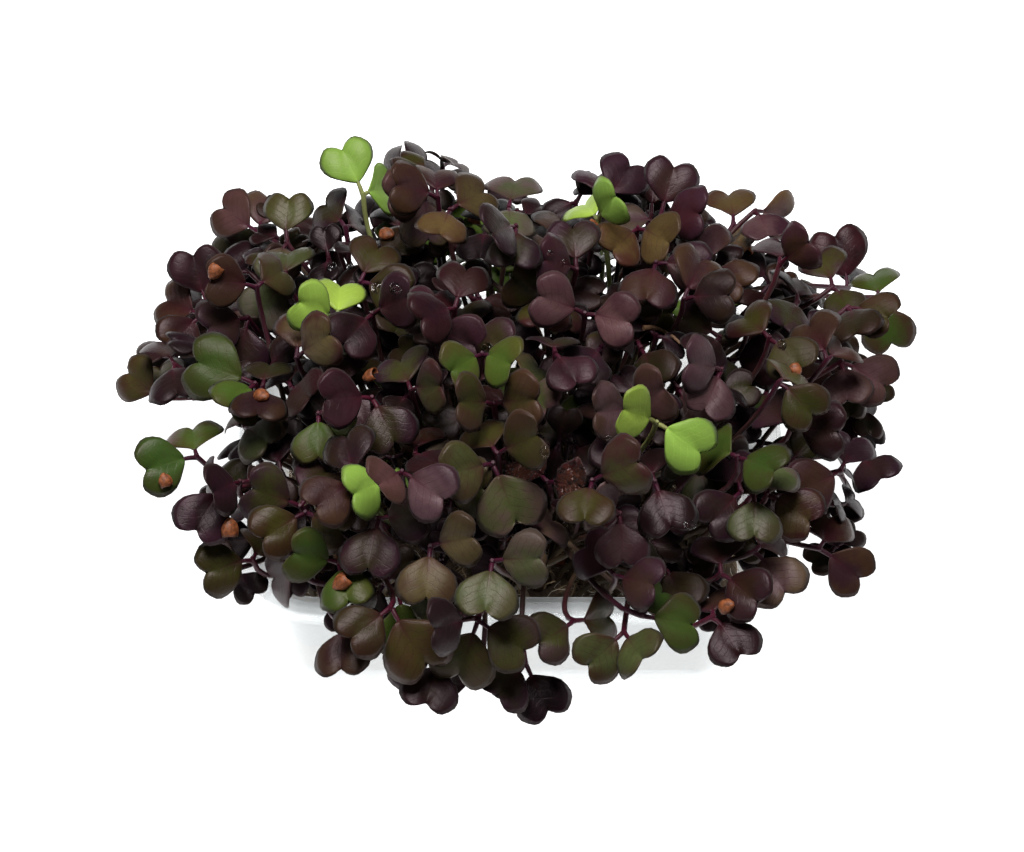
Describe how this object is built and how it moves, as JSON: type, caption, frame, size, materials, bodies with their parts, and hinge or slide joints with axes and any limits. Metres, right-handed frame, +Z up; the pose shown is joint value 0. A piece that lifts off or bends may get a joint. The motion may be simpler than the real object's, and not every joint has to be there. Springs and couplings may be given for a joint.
{
  "type": "radish microgreens tray",
  "caption": "Clear rectangular punnet of purple radish microgreens: a dense mound of heart-shaped seed leaves on magenta stems spilling over the rim.",
  "frame": {"origin": "middle of the punnet's base, on the surface it stands on", "axes": "+Z up; +X along the punnet's long side, to the right in the front view; +Y away from the viewer"},
  "size_m": [0.2405, 0.1938, 0.1195],
  "materials": {
    "clear_plastic": "clear, glossy",
    "medium": "fibrous, matt",
    "leaf_violet": "soft satin",
    "leaf_umber": "soft satin",
    "leaf_olive": "soft satin",
    "leaf_green": "soft satin"
  },
  "bodies": {
    "root": {"tray": "clear_plastic", "growing_mat": "medium", "tuft_1_1": "leaf_green", "tuft_1_2": "leaf_umber", "tuft_1_3": "leaf_olive", "tuft_1_4": "leaf_green", "tuft_1_5": "leaf_olive", "tuft_1_6": "leaf_violet", "tuft_1_7": "leaf_violet", "tuft_1_8": "leaf_olive", "tuft_2_1": "leaf_umber", "tuft_2_2": "leaf_olive", "tuft_2_3": "leaf_violet", "tuft_2_4": "leaf_olive", "tuft_2_5": "leaf_violet", "tuft_2_6": "leaf_olive", "tuft_2_7": "leaf_umber", "tuft_2_8": "leaf_violet", "tuft_3_1": "leaf_green", "tuft_3_2": "leaf_green", "tuft_3_3": "leaf_violet", "tuft_3_4": "leaf_violet", "tuft_3_5": "leaf_umber", "tuft_3_6": "leaf_green", "tuft_3_7": "leaf_olive", "tuft_3_8": "leaf_umber", "tuft_4_1": "leaf_olive", "tuft_4_2": "leaf_umber", "tuft_4_3": "leaf_olive", "tuft_4_4": "leaf_green", "tuft_4_5": "leaf_violet", "tuft_4_6": "leaf_violet", "tuft_4_7": "leaf_violet", "tuft_4_8": "leaf_olive", "tuft_5_1": "leaf_violet", "tuft_5_2": "leaf_violet", "tuft_5_3": "leaf_olive", "tuft_5_4": "leaf_olive", "tuft_5_5": "leaf_violet", "tuft_5_6": "leaf_umber", "tuft_5_7": "leaf_violet", "tuft_5_8": "leaf_umber", "tuft_6_1": "leaf_violet", "tuft_6_2": "leaf_violet", "tuft_6_3": "leaf_green", "tuft_6_4": "leaf_violet", "tuft_6_5": "leaf_umber", "tuft_6_6": "leaf_violet", "tuft_6_7": "leaf_violet", "tuft_6_8": "leaf_green"}
  },
  "joints": []
}
